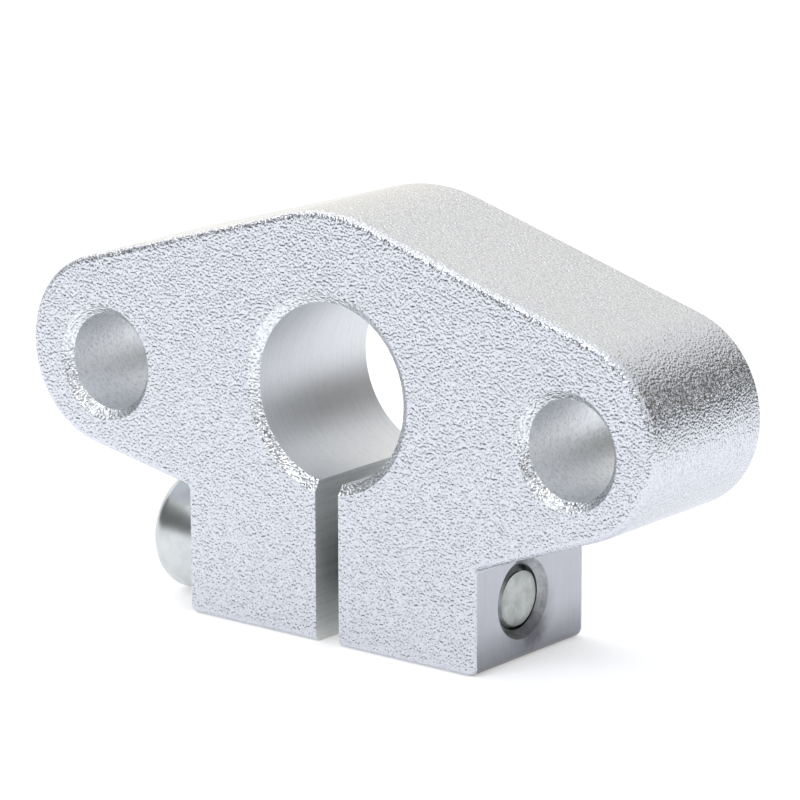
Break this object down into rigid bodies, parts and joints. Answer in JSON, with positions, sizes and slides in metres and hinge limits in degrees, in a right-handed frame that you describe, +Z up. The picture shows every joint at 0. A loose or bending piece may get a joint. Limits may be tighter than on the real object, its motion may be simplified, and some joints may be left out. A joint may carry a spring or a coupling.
{
  "type": "flanged shaft support",
  "caption": "Flange-mounted shaft support with a round clamp bore, mounting holes in its ears, a split foot and a cross clamp screw.",
  "frame": {"origin": "centre of the shaft bore, halfway through the flange's thickness", "axes": "+X along the line of the mounting holes towards the tapped side, +Y along the bore towards the back face, +Z up, away from the foot"},
  "size_m": [0.043, 0.01, 0.024],
  "materials": {
    "blasted_aluminium": "satin",
    "plated_steel": "satin"
  },
  "bodies": {
    "support": {"support_body": "blasted_aluminium"},
    "screw": {"clamp_screw": "plated_steel"}
  },
  "joints": [
    {"name": "clamp_screw_turn", "type": "hinge", "parent": "support", "child": "screw", "pos_m": [-0.0099, -0.0006, -0.01058], "axis": [-1, 0, 0], "range_deg": [0, 180]}
  ]
}
